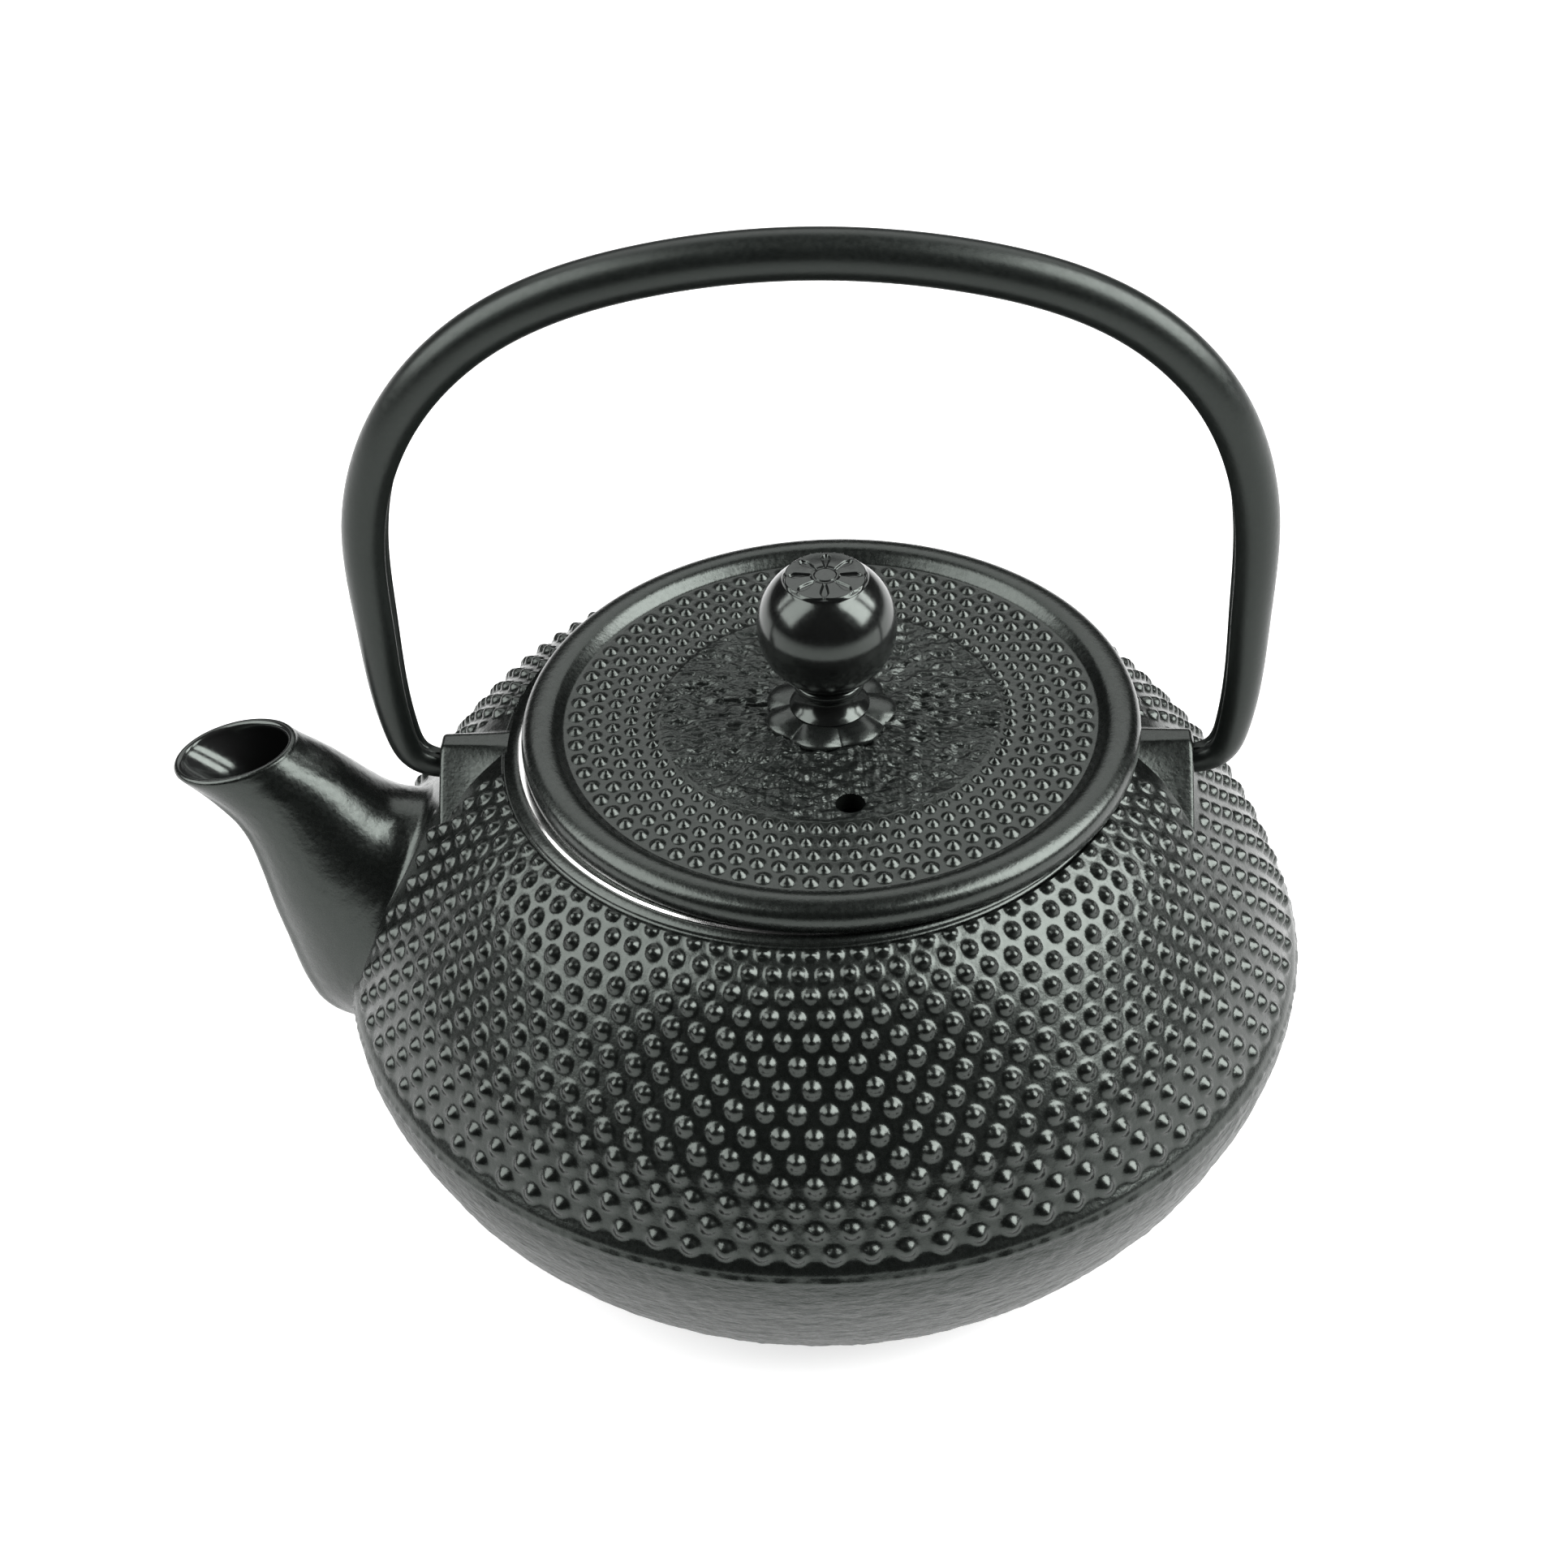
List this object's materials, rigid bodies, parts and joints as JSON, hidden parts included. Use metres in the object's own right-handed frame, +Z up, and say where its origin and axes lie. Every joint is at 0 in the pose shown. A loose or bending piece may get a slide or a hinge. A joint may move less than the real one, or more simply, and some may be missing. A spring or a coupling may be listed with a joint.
{
  "type": "teapot",
  "caption": "Round iron teapot with hobnail surface, short spout, knobbed lid, lift-out infuser and a swinging bail handle.",
  "frame": {"origin": "centre of the flat base, on the surface the teapot stands on", "axes": "+Z up along the bowl's axis, -X towards the spout, handle pivots along X, +Y towards the back"},
  "size_m": [0.1849, 0.1598, 0.1674],
  "materials": {
    "black_iron": "satin black paint over fine cast texture",
    "black_gloss": "gloss black paint",
    "handle_steel": "satin black paint on rolled steel",
    "steel": "bright stainless steel"
  },
  "bodies": {
    "pot": {"pot_body": "black_iron"},
    "infuser": {"infuser_rim": "steel", "infuser_wall": "steel", "infuser_base": "steel"},
    "lid": {"lid": "black_iron", "knob_seat": "black_gloss", "lid_knob": "black_gloss", "knob_washer": "steel", "knob_screw": "steel"},
    "handle": {"bail_handle": "handle_steel"}
  },
  "joints": [
    {"name": "handle_swing", "type": "hinge", "parent": "pot", "child": "handle", "pos_m": [0, 0, 0.0718], "axis": [1, 0, 0], "range_deg": [-100, 100]},
    {"name": "infuser_lift", "type": "slide", "parent": "pot", "child": "infuser", "axis": [0, 0, 1], "range_m": [0, 0.046]},
    {"name": "lid_lift", "type": "slide", "parent": "infuser", "child": "lid", "axis": [0, 0, 1], "range_m": [0, 0.04]}
  ]
}
